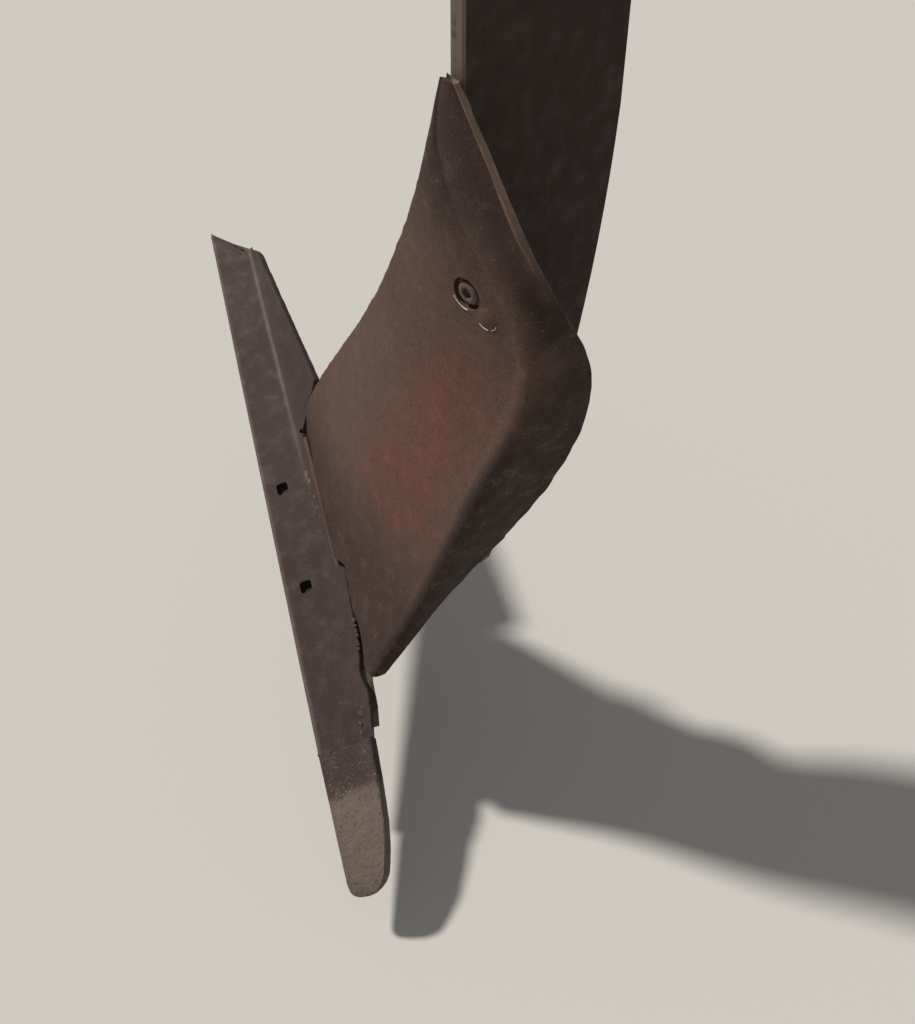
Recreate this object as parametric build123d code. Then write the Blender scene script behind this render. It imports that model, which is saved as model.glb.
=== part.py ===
from build123d import *
import math
import os

# One-sided subsoiler body: a plate leg with a lifting mouldboard and a swept share at its foot
# Origin at the centre of the pivot hole in the leg head; +X is the travel direction,
# +Y is the land side (left of travel), +Z is up. Millimetres.

# Foot datum: a point on the ground under the share's nose, measured from the pivot
FOOT_FORWARD = 320.0
FOOT_LANDWARD = 103.5
FOOT_DROP = 985.0

# Leg
LEG_THICK = 25.0
LEG_WIDTH = 184.0
LEG_TOP = 205.0
LEG_TOP_CHAMFER = 35.0
LEG_NOSE_CHAMFER = 2.0
LEG_NOSE_BEVEL = 12.0
PIVOT_BORE = 31.0
SHEAR_BORE = 17.0
SHEAR_RISE = 130.0
PIVOT_TO_NOSE = 92.0
FRONT_STRAIGHT_END = 700.0
REAR_STRAIGHT_END = 655.0
# Sweep of the leg's front edge: x from the straight nose line, height above the foot datum
FRONT_SWEEP = [(-8.5, 590.0), (-9.0, 480.0), (2.0, 330.0), (26.0, 208.0)]
# Sweep of the leg's rear edge: x from the straight rear line, height above the foot datum
REAR_SWEEP = [(122.0, 228.0), (69.0, 330.0), (31.4, 436.0), (8.0, 566.0)]

# Share blade: its edge line starts at this place from the foot datum
EDGE_START = (9.0, -17.0, -16.0)
SHARE_SWEEP = 61.6
SHARE_RISE = 21.6
SHARE_RAKE = 25.0
SHARE_LENGTH = 820.0
SHARE_THICK = 12.0
SHARE_TAIL_SETBACK = 18.0
SHARE_TAIL_SKEW = 47.0
SHARE_TAIL_WIDTH = 47.0
SHARE_SEAM_WIDTH = 66.0
RIDGE_START_WIDTH = 58.0
SHARE_BEVEL_WIDTH = 14.0
SHARE_BEVEL_DEPTH = 7.0
SHARE_TAIL_ROUND = 12.0
SHARE_HOLE = 14.0
SHARE_HOLE_ALONG = (327.0, 450.0)
SHARE_HOLE_ACROSS = 32.5

# Share flange, folded up from the ridge behind the cutting face
FLANGE_RAKE = 50.0
FLANGE_THICK = 9.0
FLANGE_TAIL_HEIGHT = 12.0
FLANGE_CROTCH_ALONG = 553.0
FLANGE_CROTCH_HEIGHT = 53.0
FLANGE_STEP = 49.0
JOINT_HEIGHT = 13.0
JOINT_GAP = 0.3
# Torn stretch of the joint between the flange and the board
TEAR_START = 218.0
TEAR_END = 326.0
TEAR_RISE = 12.0
TEAR_GAP = 4.0

# Welded point at the foot of the share: nose outline as along and across from the edge start
POINT_LENGTH = 142.0
POINT_THICK = 18.0
POINT_GAP = 0.3
POINT_LIP = 2.0
POINT_NOSE = [(57.0, 57.0), (6.0, 43.0), (-7.0, 26.0), (-8.0, 10.0), (0.0, 0.0)]

# Mouldboard: height above the foot datum, then x and y of the furrow edge, the bend and the land edge
BOARD_THICK = 8.0
BEND_RADIUS = 26.0
BEND_SHARE = 0.7
BOARD_BULGE = 12.0
BULGE_FULL_WIDTH = 200.0
BOARD_LEVELS = [
    (738, -217, -104, -214, -96, -216, -88),
    (680, -223, -125, -212, -88, -220, -54),
    (600, -235, -161, -217, -45, -237, -16),
    (520, -248, -205, -224, -10, -277, 2),
    (430, -262, -262, -207, -26, -287, -4),
    (330, -273, -333, -184, -52, -260, -34),
    (230, -281, -395, -168, -84, -210, -77),
    (105, -288, -449, -129, -127, -146, -122),
]

# Bolts through the board: height above the foot datum, landward place, and the hole round the head
BOLT_SHANK = 12.0
BOLT_HEAD = 20.0
BOLT_HEAD_HEIGHT = 4.0
BOLT_RECESS = 29.0
BOLT_LEAN = 24.0
HEAD_DEPTH = 5.0
HOLE_GAP = 0.3
NUT_ACROSS = 19.0
NUT_HEIGHT = 11.0
NUT_GAP = 2.0
BOARD_NUT_ROOM = 4.0
# Clear length behind the board's face for a bolt, its nut and a spanner
BOLT_ROOM = 110.0
BOLT_TAIL = 14.0
BOARD_BOLTS = [
    ("upper", 565.0, -81.0, BOLT_RECESS),
    ("lower", 551.0, -59.0, BOLT_HEAD),
]

# Frog: a web beside the leg, a backing behind the board and an upright seat behind the share
SEAT_GAP = 0.3
BOARD_SEAT_GAP = 1.0
AHEAD_OF_BOARD = 110.0
FROG_THICK = 20.0
FROG_WEB = [
    (-345.0, 330.0), (-215.0, 330.0), (-160.0, 240.0), (-120.0, 140.0),
    (-190.0, 165.0), (-300.0, 180.0), (-345.0, 240.0),
]
BACKING_FURROW = -270.0
BACKING_LOW = 60.0
BACKING_HIGH = 300.0
SEAT_SETBACK = 73.0
SEAT_THICK = 14.0
SEAT_FROM_POINT = 25.0
SEAT_LENGTH = 165.0
SEAT_BELOW = 12.0
SEAT_ABOVE = 91.0

# Bracket behind the board's bolts, on the land face of the leg
PAD_THICK = 12.0
GUSSET_THICK = 10.0
GUSSET_DEPTH = 40.0
BRACKET_WIDTH = 62.0
BRACKET_LOW = 505.0
BRACKET_HIGH = 610.0
BRACKET_REACH = 250.0
GUSSET_FRONT = -210.0

# Flat-bar stays from the frog to the board and to the share
STAY_WIDTH = 40.0
STAY_THICK = 10.0
BOARD_LUG = (-345.0, -308.0, 270.0, 330.0)
BOARD_PAD = (-310.0, -250.0, 315.0, 385.0)
BOARD_STAY_START = (-335.0, 300.0)
BOARD_STAY_END = (-272.0, -280.0, 350.0)
SHARE_LUG = (-340.0, -290.0, 172.0, 228.0)
SHARE_STAY_START = (-315.0, 198.0)
SHARE_STAY_ALONG = 489.0
SHARE_STAY_ACROSS = 30.0
SHARE_STAY_DROP = 26.0
SHARE_PAD = (50.0, 40.0)

# Bolts that clamp the leg to the frog: x and height from the foot datum
FOOT_BOLTS = [(-240.0, 300.0), (-285.0, 305.0), (-250.0, 245.0)]
FOOT_SHANK = 16.0
FOOT_HEAD_ACROSS = 24.0
FOOT_HEAD = 10.0
FOOT_TAIL = 8.0
NUT_ROOM = 3.0

LEG_LAND_FACE = LEG_THICK / 2
LEG_FURROW_FACE = -LEG_THICK / 2
# Upright faces as places from the foot datum
LAND_SIDE = LEG_LAND_FACE - FOOT_LANDWARD
FURROW_SIDE = LEG_FURROW_FACE - SEAT_GAP - FOOT_LANDWARD
FROG_SIDE = FURROW_SIDE - FROG_THICK - SEAT_GAP
# Larger than the whole body, for spaces that are cut away
WIDE = 1200.0


def from_foot(x, y, z):
    """A place measured from the foot datum, in the pivot frame."""
    return Vector(FOOT_FORWARD + x, FOOT_LANDWARD + y, z - FOOT_DROP)


def rad(degrees):
    return math.radians(degrees)


# Share directions: along towards the tail, back across the travel, and the upward normal of both
along = Vector(
    -math.cos(rad(SHARE_SWEEP)) * math.cos(rad(SHARE_RISE)),
    -math.sin(rad(SHARE_SWEEP)) * math.cos(rad(SHARE_RISE)),
    math.sin(rad(SHARE_RISE)),
)
back = Vector(-math.sin(rad(SHARE_SWEEP)), math.cos(rad(SHARE_SWEEP)), 0)
lift = back.cross(along)
edge_start = from_foot(*EDGE_START)
ridge_tail_along = SHARE_LENGTH - SHARE_TAIL_SKEW


def share_plane(rake, origin):
    """Plane with x along the share, y climbing behind the edge at the rake angle, z into the plate."""
    across = back * math.cos(rad(rake)) + lift * math.sin(rad(rake))
    return Plane(origin=origin, x_dir=along, z_dir=along.cross(across))


face_plane = share_plane(SHARE_RAKE, edge_start)


def edge_across(a):
    """Set-back of the cutting edge at a distance along the share."""
    return SHARE_TAIL_SETBACK * a / SHARE_LENGTH


def ridge_across(a):
    """Distance of the ridge from the edge line at a distance along the share."""
    part_way = (a - POINT_LENGTH) / (ridge_tail_along - POINT_LENGTH)
    tail = SHARE_TAIL_SETBACK + SHARE_TAIL_WIDTH
    return RIDGE_START_WIDTH + (tail - RIDGE_START_WIDTH) * part_way


ridge_crotch = face_plane.from_local_coords((FLANGE_CROTCH_ALONG, ridge_across(FLANGE_CROTCH_ALONG), 0))
flange_plane = share_plane(FLANGE_RAKE, ridge_crotch)


def plate(plane, points, thick):
    """Plate with the given outline, behind the plane by its thickness."""
    return extrude(plane * make_face(Polyline(*points, close=True)), amount=thick)


def region(x_range, y_range, z_range):
    """Upright box between limits measured from the foot datum."""
    low = from_foot(x_range[0], y_range[0], z_range[0])
    high = from_foot(x_range[1], y_range[1], z_range[1])
    size = high - low
    return Pos(*((low + high) * 0.5)) * Box(size.X, size.Y, size.Z)


def side_plane(x, y, z):
    """Plane facing the land side at a place measured from the pivot."""
    return Plane(origin=(x, y, z), x_dir=(1, 0, 0), z_dir=(0, -1, 0))


# Leg
def leg_edges():
    """Side outline of the leg: a straight head, then a forward sweep to the foot."""
    nose = PIVOT_TO_NOSE
    rear = nose - LEG_WIDTH
    shoulder = LEG_TOP - LEG_TOP_CHAMFER
    front = [(nose + x, z - FOOT_DROP) for x, z in FRONT_SWEEP]
    tail = [(rear + x, z - FOOT_DROP) for x, z in REAR_SWEEP]
    front_start = (nose, FRONT_STRAIGHT_END - FOOT_DROP)
    rear_start = (rear, REAR_STRAIGHT_END - FOOT_DROP)
    head = Polyline(
        rear_start,
        (rear, shoulder),
        (rear + LEG_TOP_CHAMFER, LEG_TOP),
        (nose - LEG_TOP_CHAMFER, LEG_TOP),
        (nose, shoulder),
        front_start,
    )
    curves = [
        head,
        ThreePointArc(front_start, front[0], front[1]),
        ThreePointArc(front[1], front[2], front[3]),
        Line(front[3], tail[0]),
        ThreePointArc(tail[0], tail[1], tail[2]),
        ThreePointArc(tail[2], tail[3], rear_start),
    ]
    return [edge for curve in curves for edge in curve.edges()]


def cross_bore(x, z, diameter):
    """Hole through the leg and what is clamped to it, along Y."""
    return side_plane(x, 0, z) * Cylinder(diameter / 2, LEG_THICK * 6)


def foot_holes():
    holes = Part()
    for x, z in FOOT_BOLTS:
        holes += cross_bore(FOOT_FORWARD + x, z - FOOT_DROP, FOOT_SHANK + 2 * HOLE_GAP)
    return holes


def foot_nut_room():
    """Room round the nuts that clamp the frog to the leg."""
    room = Part()
    for x, z in FOOT_BOLTS:
        face = side_plane(FOOT_FORWARD + x, LEG_FURROW_FACE - SEAT_GAP - FROG_THICK, z - FOOT_DROP)
        room += extrude(face * Circle(FOOT_HEAD_ACROSS / 2 + NUT_ROOM), amount=2 * FOOT_HEAD)
    return room


def make_leg():
    outline = make_face(Wire(leg_edges()))
    leg = extrude(side_plane(0, LEG_LAND_FACE, 0) * outline, amount=LEG_THICK)
    nose_edges = [
        edge for edge in leg.edges()
        if edge.center().X > PIVOT_TO_NOSE - HOLE_GAP and edge.length > LEG_TOP and edge.center().Y > 0
    ]
    leg = chamfer(nose_edges, LEG_NOSE_CHAMFER)
    nose_low = FRONT_STRAIGHT_END - FOOT_DROP
    side = LEG_NOSE_BEVEL * math.sqrt(2)
    place = Pos(PIVOT_TO_NOSE, LEG_FURROW_FACE, (nose_low + LEG_TOP) / 2)
    leg -= place * Rot(0, 0, 45) * Box(side, side, LEG_TOP - nose_low)
    leg -= cross_bore(0, 0, PIVOT_BORE)
    leg -= cross_bore(0, SHEAR_RISE, SHEAR_BORE)
    return leg - foot_holes()


# Mouldboard
def horizontal_normal(direction, reference):
    """Horizontal normal of a direction on the side of the reference."""
    normal = Vector(-direction.Y, direction.X, 0).normalized()
    return normal if normal.dot(reference) > 0 else normal * -1


def bulge_of(width):
    """How far the board's face bows forward between its furrow edge and its bend."""
    return BOARD_BULGE * min(1.0, width / BULGE_FULL_WIDTH)


def board_section(level, front, rear, whole):
    """Closed wire of the board at one level, between two depths: the whole board, or its flat wing alone."""
    z, furrow_x, furrow_y, bend_x, bend_y, land_x, land_y = level
    furrow = from_foot(furrow_x, furrow_y, z)
    bend = from_foot(bend_x, bend_y, z)
    land = from_foot(land_x, land_y, z)
    to_furrow = (furrow - bend).normalized()
    to_land = (land - bend).normalized()
    face_normal = horizontal_normal(to_furrow, Vector(1, 0, 0))
    strip_normal = horizontal_normal(to_land, Vector(0.3, 1, 0))
    bend_normal = (face_normal + strip_normal).normalized()
    trim = min(BEND_RADIUS * 0.8, BEND_SHARE * (land - bend).length)
    start = bend + to_furrow * trim
    finish = bend + to_land * trim
    middle = (furrow + start) * 0.5 + face_normal * bulge_of((furrow - bend).length)
    bend_middle = (start + finish) * 0.25 + bend * 0.5

    def side(depth):
        return [
            furrow - face_normal * depth,
            middle - face_normal * depth,
            start - face_normal * depth,
            bend_middle - bend_normal * depth,
            finish - strip_normal * depth,
            land - strip_normal * depth,
        ]

    a = side(front)
    b = side(rear)
    if not whole:
        return Wire([
            ThreePointArc(a[0], a[1], a[2]).edge(),
            Line(a[2], b[2]).edge(),
            ThreePointArc(b[2], b[1], b[0]).edge(),
            Line(b[0], a[0]).edge(),
        ])
    return Wire([
        ThreePointArc(a[0], a[1], a[2]).edge(),
        ThreePointArc(a[2], a[3], a[4]).edge(),
        Line(a[4], a[5]).edge(),
        Line(a[5], b[5]).edge(),
        Line(b[5], b[4]).edge(),
        ThreePointArc(b[4], b[3], b[2]).edge(),
        ThreePointArc(b[2], b[1], b[0]).edge(),
        Line(b[0], a[0]).edge(),
    ])


def board_slab(front, rear, whole=True):
    """Solid between two depths behind the front face of the board."""
    return Part() + Solid.make_loft([board_section(level, front, rear, whole) for level in BOARD_LEVELS])


def board_level(z):
    """Board level worked out between two listed levels."""
    for upper, lower in zip(BOARD_LEVELS, BOARD_LEVELS[1:]):
        if upper[0] >= z >= lower[0]:
            t = (upper[0] - z) / (upper[0] - lower[0])
            return [u + (w - u) * t for u, w in zip(upper, lower)]
    return BOARD_LEVELS[-1]


def bolt_plane(height, y):
    """Plane on the board's front face at a bolt, with z out of the face."""
    z, furrow_x, furrow_y, bend_x, bend_y = board_level(height)[:5]
    t = (y - furrow_y) / (bend_y - furrow_y)
    chord = Vector(bend_x - furrow_x, bend_y - furrow_y, 0)
    facing = horizontal_normal(chord, Vector(1, 0, 0))
    origin = from_foot(furrow_x + chord.X * t, y, z) + facing * (bulge_of(chord.length) * 4 * t * (1 - t))
    normal = facing * math.cos(rad(BOLT_LEAN)) + Vector(0, 0, 1) * math.sin(rad(BOLT_LEAN))
    return Plane(origin=origin, x_dir=Vector(0, 0, 1).cross(normal), z_dir=normal)


def drum(plane, radius, low, high):
    """Round bar on a plane's axis between two heights above it."""
    return plane.offset((low + high) / 2) * Cylinder(radius, high - low)


def flange_outline(gap, tear):
    """Outline of the flange in its plane, grown on its upper side by a gap and along the tear."""
    start = POINT_LENGTH + POINT_GAP - FLANGE_CROTCH_ALONG
    tail = ridge_tail_along - FLANGE_CROTCH_ALONG
    tear_start = TEAR_START - FLANGE_CROTCH_ALONG
    tear_end = TEAR_END - FLANGE_CROTCH_ALONG
    return [
        (start - gap, -FLANGE_THICK),
        (tail, -FLANGE_THICK),
        (tail, FLANGE_TAIL_HEIGHT + gap),
        (-gap, FLANGE_CROTCH_HEIGHT + gap),
        (-FLANGE_STEP - gap, JOINT_HEIGHT + gap),
        (tear_end + TEAR_RISE + tear, JOINT_HEIGHT + gap),
        (tear_end, JOINT_HEIGHT + gap + TEAR_RISE + tear),
        (tear_start, JOINT_HEIGHT + gap + tear),
        (tear_start - TEAR_RISE - tear, JOINT_HEIGHT + gap),
        (start - gap, JOINT_HEIGHT + gap),
    ]


def under_joint(top):
    """Everything on the share's side of a height in the flange's plane."""
    return flange_plane * Pos(0, top - WIDE / 2, 0) * Box(2 * WIDE, WIDE, WIDE / 2)


def make_mouldboard():
    outline = make_face(Polyline(*flange_outline(JOINT_GAP, TEAR_GAP), close=True))
    board = board_slab(0, BOARD_THICK) - under_joint(JOINT_HEIGHT + JOINT_GAP)
    board -= extrude(flange_plane * outline, amount=8 * BOARD_THICK, both=True)
    for name, height, y, hole in BOARD_BOLTS:
        plane = bolt_plane(height, y)
        board -= drum(plane, hole / 2 + HOLE_GAP, -HEAD_DEPTH, 2 * BOARD_THICK)
        board -= drum(plane, BOLT_SHANK / 2 + HOLE_GAP, -4 * BOARD_THICK, 2 * BOARD_THICK)
    return board


def make_board_bolt(height, y, hole):
    """Round-headed bolt: sunk in a wide recess, or flush in a hole of its own size."""
    plane = bolt_plane(height, y)
    top = BOLT_HEAD_HEIGHT - HEAD_DEPTH if hole > BOLT_HEAD else 0.0
    end = -BOARD_THICK - PAD_THICK - NUT_GAP - NUT_HEIGHT - BOLT_TAIL
    return drum(plane, BOLT_HEAD / 2, -HEAD_DEPTH, top) + drum(plane, BOLT_SHANK / 2, end, -HEAD_DEPTH)


def make_board_nut(height, y):
    plane = bolt_plane(height, y)
    seat = plane.offset(-BOARD_THICK - PAD_THICK - NUT_GAP - NUT_HEIGHT)
    hexagon = RegularPolygon(NUT_ACROSS / 2, 6, major_radius=False, rotation=30)
    nut = extrude(seat * hexagon, amount=NUT_HEIGHT)
    return nut - drum(plane, BOLT_SHANK / 2 + HOLE_GAP / 3, -WIDE / 4, 0)


# Share
def make_share():
    start = POINT_LENGTH + POINT_GAP
    face = plate(face_plane, [
        (start, edge_across(start)),
        (SHARE_LENGTH, edge_across(SHARE_LENGTH)),
        (ridge_tail_along + SHARE_TAIL_ROUND / 2, ridge_across(ridge_tail_along) - SHARE_TAIL_ROUND),
        (ridge_tail_along - SHARE_TAIL_ROUND / 2, ridge_across(ridge_tail_along)),
        (start, ridge_across(start)),
    ], SHARE_THICK)
    share = face + plate(flange_plane, flange_outline(0, 0), FLANGE_THICK)
    tip = face_plane.from_local_coords((0, edge_across(0), SHARE_THICK - SHARE_BEVEL_DEPTH))
    tail = face_plane.from_local_coords((SHARE_LENGTH, edge_across(SHARE_LENGTH), SHARE_THICK - SHARE_BEVEL_DEPTH))
    run = (tail - tip).normalized()
    slope = math.degrees(math.atan2(SHARE_BEVEL_DEPTH, SHARE_BEVEL_WIDTH))
    bevel = Plane(origin=tip, x_dir=run, z_dir=face_plane.z_dir).rotated((slope, 0, 0))
    share -= bevel * Pos(SHARE_LENGTH / 2, 0, SHARE_THICK) * Box(WIDE, WIDE / 4, 2 * SHARE_THICK)
    for a in SHARE_HOLE_ALONG:
        share -= face_plane * Pos(a, SHARE_HOLE_ACROSS, 0) * Box(SHARE_HOLE, SHARE_HOLE, 6 * SHARE_THICK)
    return share


def make_point():
    end = [
        (POINT_LENGTH, edge_across(POINT_LENGTH) - POINT_LIP),
        (POINT_LENGTH, SHARE_SEAM_WIDTH),
    ]
    return plate(face_plane, end + POINT_NOSE, POINT_THICK)


# Spaces taken by the board and the share, and everything ahead of them
round_board = board_slab(-BOARD_THICK, BOARD_THICK + BOARD_SEAT_GAP) - under_joint(JOINT_HEIGHT)
ahead_of_board = board_slab(-AHEAD_OF_BOARD, -BOARD_THICK / 2) - under_joint(JOINT_HEIGHT)


def space_round_share():
    """Space of the share and its flange with the seat gap behind, and what is ahead of them."""
    ahead = POINT_LENGTH
    blade = make_face(Polyline(
        (-ahead, -SHARE_SEAM_WIDTH),
        (WIDE, -SHARE_SEAM_WIDTH),
        (WIDE, SHARE_SEAM_WIDTH),
        (-ahead, SHARE_SEAM_WIDTH),
        close=True,
    ))
    fold = make_face(Polyline(*flange_outline(SEAT_GAP, 0), close=True))
    space = extrude(face_plane * blade, amount=SHARE_THICK + SEAT_GAP)
    space += extrude(face_plane * blade, amount=-ahead)
    space += extrude(flange_plane * fold, amount=FLANGE_THICK + SEAT_GAP)
    space += extrude(flange_plane * fold, amount=-ahead)
    return space


round_share = space_round_share()


# Frog and what holds the board and the share to the leg
def make_frog():
    web = [(FOOT_FORWARD + x, z - FOOT_DROP) for x, z in FROG_WEB]
    frog = plate(side_plane(0, LEG_FURROW_FACE - SEAT_GAP, 0), web, FROG_THICK)
    backing = board_slab(0, BOARD_THICK + BOARD_SEAT_GAP + FROG_THICK, whole=False)
    xs = [x for x, z in FROG_WEB]
    frog += backing & region(
        (min(xs) - FROG_THICK, 0), (BACKING_FURROW, FURROW_SIDE), (BACKING_LOW, BACKING_HIGH))
    seat_plane = Plane(
        origin=edge_start + back * SEAT_SETBACK,
        x_dir=Vector(along.X, along.Y, 0).normalized(),
        z_dir=back,
    )
    climb = math.tan(rad(SHARE_RISE))
    start = POINT_LENGTH + SEAT_FROM_POINT
    end = start + SEAT_LENGTH
    frog += plate(seat_plane, [
        (start, climb * start - SEAT_BELOW),
        (end, climb * end - SEAT_BELOW),
        (end, climb * end + SEAT_ABOVE),
        (start, climb * start + SEAT_ABOVE),
    ], SEAT_THICK)
    return frog - round_share - round_board - ahead_of_board - foot_holes() - foot_nut_room()


def make_bracket():
    """Lug welded to the land face of the leg that the board's two upper bolts pass through."""
    seat = BOARD_THICK + BOARD_SEAT_GAP
    pad = board_slab(seat, seat + PAD_THICK)
    pad &= region((-WIDE, 0), (LAND_SIDE, LAND_SIDE + BRACKET_WIDTH), (BRACKET_LOW, BRACKET_HIGH))
    gussets = Part()
    for low in (BRACKET_LOW, BRACKET_HIGH - GUSSET_THICK):
        gussets += region(
            (-BRACKET_REACH, GUSSET_FRONT), (LAND_SIDE, LAND_SIDE + GUSSET_DEPTH), (low, low + GUSSET_THICK))
    bracket = pad + (gussets - board_slab(-AHEAD_OF_BOARD, seat + PAD_THICK / 2))
    for name, height, y, hole in BOARD_BOLTS:
        plane = bolt_plane(height, y)
        bracket -= drum(plane, BOLT_SHANK / 2 + HOLE_GAP, -BOLT_ROOM, 0)
        bracket -= drum(plane, NUT_ACROSS / 2 + BOARD_NUT_ROOM, -BOLT_ROOM, -BOARD_THICK - PAD_THICK - NUT_GAP)
    return bracket


def make_foot_bolt(x, z):
    """Hexagon bolt and nut that clamp the leg to the frog."""
    grip = LEG_THICK + SEAT_GAP + FROG_THICK
    hexagon = RegularPolygon(FOOT_HEAD_ACROSS / 2, 6, major_radius=False)
    face = side_plane(FOOT_FORWARD + x, LEG_LAND_FACE, z - FOOT_DROP)
    bolt = extrude(face * hexagon, amount=-FOOT_HEAD)
    bolt += extrude(face * Circle(FOOT_SHANK / 2), amount=grip + FOOT_HEAD + FOOT_TAIL)
    return bolt + extrude(face.offset(grip) * hexagon, amount=FOOT_HEAD)


def flat_bar(start, finish):
    """Straight flat bar between two places, its width as upright as it can be."""
    run = finish - start
    flat = run.cross(Vector(0, 0, 1)).normalized()
    plane = Plane(origin=start, x_dir=flat, z_dir=run.normalized())
    return extrude(plane * Rectangle(STAY_THICK, STAY_WIDTH), amount=run.length)


def frog_lug(limits):
    """Foot of a stay, flat on the frog's furrow face: x limits, then height limits."""
    return region(limits[:2], (FROG_SIDE - STAY_THICK, FROG_SIDE), limits[2:])


def landward_of_frog():
    """Everything on the land side of the frog's furrow face."""
    return region((-WIDE / 2, WIDE / 8), (FROG_SIDE, FROG_SIDE + WIDE / 6), (-WIDE / 8, WIDE))


def make_board_stay():
    """Flat bar from the frog to a pad behind the furrow wing of the board."""
    pad = board_slab(0, BOARD_THICK + BOARD_SEAT_GAP + STAY_THICK, whole=False)
    pad &= region((-WIDE, 0), BOARD_PAD[:2], BOARD_PAD[2:])
    x, z = BOARD_STAY_START
    bar = flat_bar(from_foot(x, FROG_SIDE - STAY_THICK / 2, z), from_foot(*BOARD_STAY_END))
    return frog_lug(BOARD_LUG) + pad + bar - round_board - ahead_of_board - landward_of_frog()


def make_share_stay():
    """Flat bar from the frog to the underside of the share's wing."""
    finish = face_plane.from_local_coords((SHARE_STAY_ALONG, SHARE_STAY_ACROSS, SHARE_STAY_DROP))
    pad = face_plane * Pos(SHARE_STAY_ALONG, SHARE_STAY_ACROSS, SHARE_THICK) * Box(*SHARE_PAD, 2 * STAY_THICK)
    x, z = SHARE_STAY_START
    bar = flat_bar(from_foot(x, FROG_SIDE - STAY_THICK / 2, z), finish)
    return frog_lug(SHARE_LUG) + pad + bar - round_share - landward_of_frog()


os.makedirs("parts", exist_ok=True)
pieces = {
    "leg": make_leg(),
    "mouldboard": make_mouldboard(),
    "share": make_share(),
    "share_point": make_point(),
    "frog": make_frog(),
    "board_bracket": make_bracket(),
    "board_stay": make_board_stay(),
    "share_stay": make_share_stay(),
    "foot_bolts": Compound([make_foot_bolt(x, z) for x, z in FOOT_BOLTS]),
}
for name, height, y, hole in BOARD_BOLTS:
    pieces["board_bolt_" + name] = make_board_bolt(height, y, hole)
    pieces["board_nut_" + name] = make_board_nut(height, y)
for name, piece in pieces.items():
    export_step(piece, "parts/" + name + ".step")
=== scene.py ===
import bpy
import math
import numpy as np
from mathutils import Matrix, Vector


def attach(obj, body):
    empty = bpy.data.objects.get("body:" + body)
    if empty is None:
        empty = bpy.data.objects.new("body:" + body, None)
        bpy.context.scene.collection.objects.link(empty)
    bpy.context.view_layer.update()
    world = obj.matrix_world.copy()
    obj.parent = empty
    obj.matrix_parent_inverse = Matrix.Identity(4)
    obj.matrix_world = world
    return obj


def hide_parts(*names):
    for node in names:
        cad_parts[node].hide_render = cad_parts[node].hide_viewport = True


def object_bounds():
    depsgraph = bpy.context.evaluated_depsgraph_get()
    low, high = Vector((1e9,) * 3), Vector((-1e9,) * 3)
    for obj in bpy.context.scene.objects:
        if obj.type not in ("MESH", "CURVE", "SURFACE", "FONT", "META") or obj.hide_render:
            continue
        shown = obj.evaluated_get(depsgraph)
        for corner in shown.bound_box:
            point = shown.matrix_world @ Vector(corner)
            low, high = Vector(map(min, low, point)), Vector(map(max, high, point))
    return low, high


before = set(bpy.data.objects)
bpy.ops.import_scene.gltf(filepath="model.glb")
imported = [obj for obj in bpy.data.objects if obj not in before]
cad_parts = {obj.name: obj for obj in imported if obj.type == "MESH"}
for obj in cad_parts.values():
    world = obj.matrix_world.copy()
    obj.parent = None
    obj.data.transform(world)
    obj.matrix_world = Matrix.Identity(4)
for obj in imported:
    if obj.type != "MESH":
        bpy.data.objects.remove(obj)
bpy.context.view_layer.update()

# Foot of the leg and start of the share's cutting edge, in millimetres from the pivot hole
FOOT = np.array([320.0, 103.5, -985.0])
EDGE_START = FOOT + [9.0, -17.0, -16.0]

# Share: angles in degrees, lengths along it and across it
SHARE_SWEEP, SHARE_RISE, SHARE_RAKE, FLANGE_RAKE = 61.6, 21.6, 25.0, 50.0
SHARE_LENGTH, SHARE_THICK, FLANGE_THICK = 820.0, 12.0, 9.0
TAIL_SETBACK, TAIL_SKEW, TAIL_WIDTH, TAIL_HEIGHT = 18.0, 47.0, 47.0, 12.0
POINT_LENGTH, POINT_THICK = 142.0, 18.0
RIDGE_START = 58.0
CROTCH, CROTCH_HEIGHT, CROTCH_STEP = 553.0, 53.0, 49.0
JOINT_HEIGHT = 13.0
TEAR_START, TEAR_END, TEAR_RISE, TEAR_GAP = 218.0, 326.0, 12.0, 7.0
HOLE_SIZE, HOLE_ACROSS, HOLES_ALONG = 14.0, 32.5, (327.0, 450.0)

# Board: plate, bend and bow, then its levels: height above the foot, and x and y of the furrow edge, of the
# bend and of the land edge
BOARD_THICK, BEND_REACH, BEND_SHARE = 8.0, 20.8, 0.7
BOARD_BULGE, FULL_WIDTH = 12.0, 200.0
BOARD_LEVELS = np.array([
    (105, -288, -449, -129, -127, -146, -122),
    (230, -281, -395, -168, -84, -210, -77),
    (330, -273, -333, -184, -52, -260, -34),
    (430, -262, -262, -207, -26, -287, -4),
    (520, -248, -205, -224, -10, -277, 2),
    (600, -235, -161, -217, -45, -237, -16),
    (680, -223, -125, -212, -88, -220, -54),
    (738, -217, -104, -214, -96, -216, -88),
], float)
BOARD_FOOT, BOARD_TOP = BOARD_LEVELS[0, 0], BOARD_LEVELS[-1, 0]

# Bolts through the board: height above the foot and landward place, then the head and the hole round it
UPPER_BOLT, LOWER_BOLT = (565.0, -81.0), (551.0, -59.0)
BOLT_HEAD, BOLT_SHANK, RECESS, GRIP = 20.0, 14.0, 29.0, 48.0


# Directions and places on the share
def direction(*parts):
    """Unit vector along the given parts."""
    vector = np.array(parts, float)
    return vector / np.linalg.norm(vector)


sweep, rise = math.radians(SHARE_SWEEP), math.radians(SHARE_RISE)
ALONG = direction(-math.cos(sweep) * math.cos(rise), -math.sin(sweep) * math.cos(rise), math.sin(rise))
BACK = direction(-math.sin(sweep), math.cos(sweep), 0)
LIFT = np.cross(BACK, ALONG)


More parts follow.
